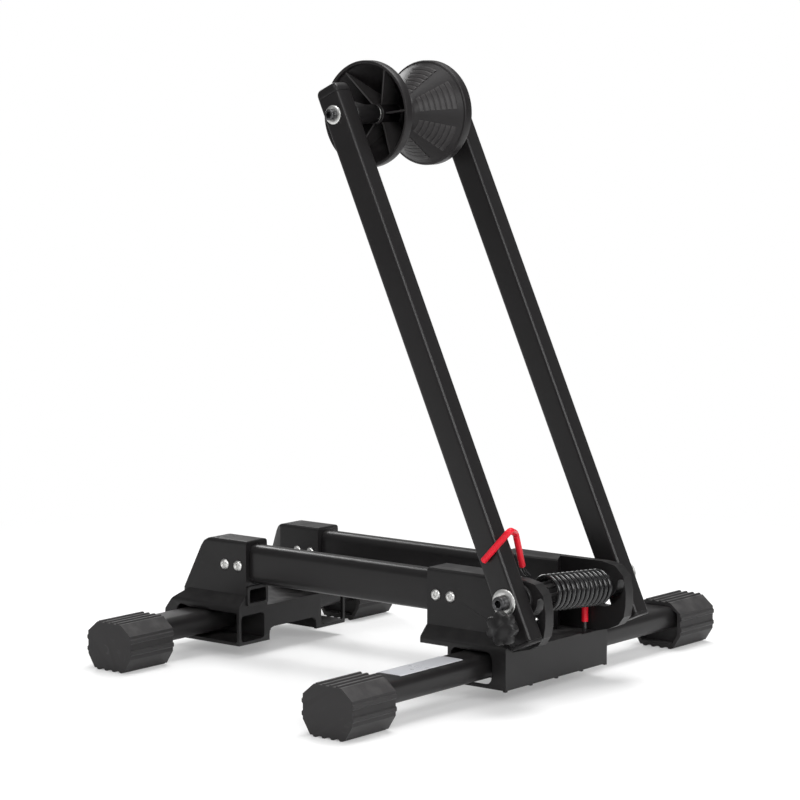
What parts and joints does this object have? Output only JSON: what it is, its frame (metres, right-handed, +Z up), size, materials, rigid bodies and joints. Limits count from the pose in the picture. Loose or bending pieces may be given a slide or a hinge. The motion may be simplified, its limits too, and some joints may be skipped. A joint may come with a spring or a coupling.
{
  "type": "push-in bicycle floor stand",
  "caption": "Low floor stand that holds a bicycle by one wheel: two rails between moulded blocks and a sprung rear-leaning pair of arms with a V-shaped tyre roller.",
  "frame": {"origin": "on the floor, at the middle of the stand's outline seen from above", "axes": "+X from the end where the wheel rolls in towards the pivoted arms, +Y across the stand to the side away from the knob, +Z up"},
  "size_m": [0.4432, 0.544, 0.5574],
  "materials": {
    "coated_steel": "satin black powder coat on formed tube",
    "moulded_black": "fine-grained black moulding",
    "rubber": "matt black rubber with moulded ridges",
    "roller_plastic": "smooth dull black moulding, polished where the tyre runs",
    "zinc": "bright zinc plating",
    "black_oxide": "dark oiled oxide, brighter on worn edges",
    "spring_black": "thin black coat on round wire",
    "red_sleeve": "soft red tubing, slightly glossy",
    "label_film": "pale silver film, left blank"
  },
  "bodies": {
    "base": {"front_block": "moulded_black", "rear_block": "moulded_black", "spring_core": "moulded_black", "front_tube": "coated_steel", "rear_tube": "coated_steel", "label_plate": "label_film", "torsion_spring": "spring_black", "base_leg_sleeve": "red_sleeve", "rail_near": "coated_steel", "foot_front_near": "rubber", "foot_rear_near": "rubber", "rivet_front_near_1": "zinc", "rivet_rear_near_1": "zinc", "rivet_front_near_2": "zinc", "rivet_rear_near_2": "zinc", "screw_front_near": "zinc", "screw_rear_near": "zinc", "pivot_bush_near": "moulded_black", "rail_far": "coated_steel", "foot_front_far": "rubber", "foot_rear_far": "rubber", "rivet_front_far_1": "zinc", "rivet_rear_far_1": "zinc", "rivet_front_far_2": "zinc", "rivet_rear_far_2": "zinc", "screw_front_far": "zinc", "screw_rear_far": "zinc", "pivot_bush_far": "moulded_black"},
    "spring_leg": {"spring_hook": "spring_black", "hook_sleeve": "red_sleeve"},
    "arms": {"arm_near": "coated_steel", "arm_cap_near": "moulded_black", "arm_plug_near": "moulded_black", "pivot_washer_near": "zinc", "pivot_bolt_near": "black_oxide", "roller_washer_near": "zinc", "roller_bolt_near": "black_oxide", "roller_ring_near": "zinc", "roller_spacer_near": "moulded_black", "arm_far": "coated_steel", "arm_cap_far": "moulded_black", "arm_plug_far": "moulded_black", "pivot_washer_far": "zinc", "pivot_bolt_far": "black_oxide", "roller_washer_far": "zinc", "roller_bolt_far": "black_oxide", "roller_ring_far": "zinc", "roller_spacer_far": "moulded_black", "pivot_axle": "zinc", "roller_axle": "zinc"},
    "roller_near": {"roller_near": "roller_plastic"},
    "roller_far": {"roller_far": "roller_plastic"},
    "knob": {"knob_stud": "zinc", "knob_head": "moulded_black"}
  },
  "joints": [
    {"name": "arm_push", "type": "hinge", "parent": "base", "child": "spring_leg", "pos_m": [0.19311, 0, 0.0934], "axis": [0, 1, 0], "range_deg": [0, 50], "stiffness_Nm_per_rad": 2.2, "springref_deg": -91.67, "deforming": ["torsion_spring"]},
    {"name": "arm_fold", "type": "hinge", "parent": "spring_leg", "child": "arms", "pos_m": [0.19311, 0, 0.0934], "axis": [0, 1, 0], "range_deg": [-62, 0]},
    {"name": "roller_near_spin", "type": "hinge", "parent": "arms", "child": "roller_near", "pos_m": [0.00266, 0, 0.50938], "axis": [0, 1, 0], "continuous": true},
    {"name": "roller_far_spin", "type": "hinge", "parent": "arms", "child": "roller_far", "pos_m": [0.00266, 0, 0.50938], "axis": [0, 1, 0], "continuous": true},
    {"name": "knob_turn", "type": "hinge", "parent": "arms", "child": "knob", "pos_m": [0.20186, 0, 0.07431], "axis": [0, -1, 0], "range_deg": [0, 720]}
  ]
}
